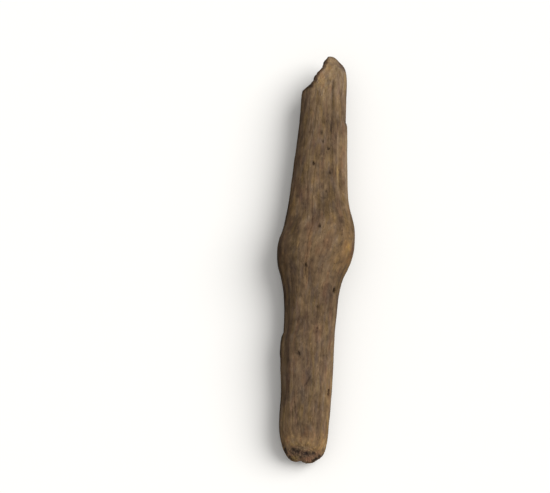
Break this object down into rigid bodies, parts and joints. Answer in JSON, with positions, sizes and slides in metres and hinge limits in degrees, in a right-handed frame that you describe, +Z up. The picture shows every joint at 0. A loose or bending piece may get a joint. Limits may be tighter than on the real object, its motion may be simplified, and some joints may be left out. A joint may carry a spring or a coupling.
{
  "type": "piece of driftwood",
  "caption": "Sea-worn wooden stick with a swollen knot near its middle, an oblique torn break at one end and a blunt, pitted end at the other; lies flat on a surface.",
  "frame": {"origin": "centre of the bounding box in plan, on the surface that the stick lies on", "axes": "+Y along the stick, towards its broken end; +X to its right as seen from above with the broken end away from the viewer; +Z up, away from the surface it lies on"},
  "size_m": [0.0492, 0.2676, 0.037],
  "materials": {
    "weathered_wood": "dry, matt, sea-worn bare wood: grey-brown and ochre streaks along the grain, dark in the splits, worm holes and the rotten blunt end"
  },
  "bodies": {
    "root": {"driftwood": "weathered_wood"}
  },
  "joints": []
}
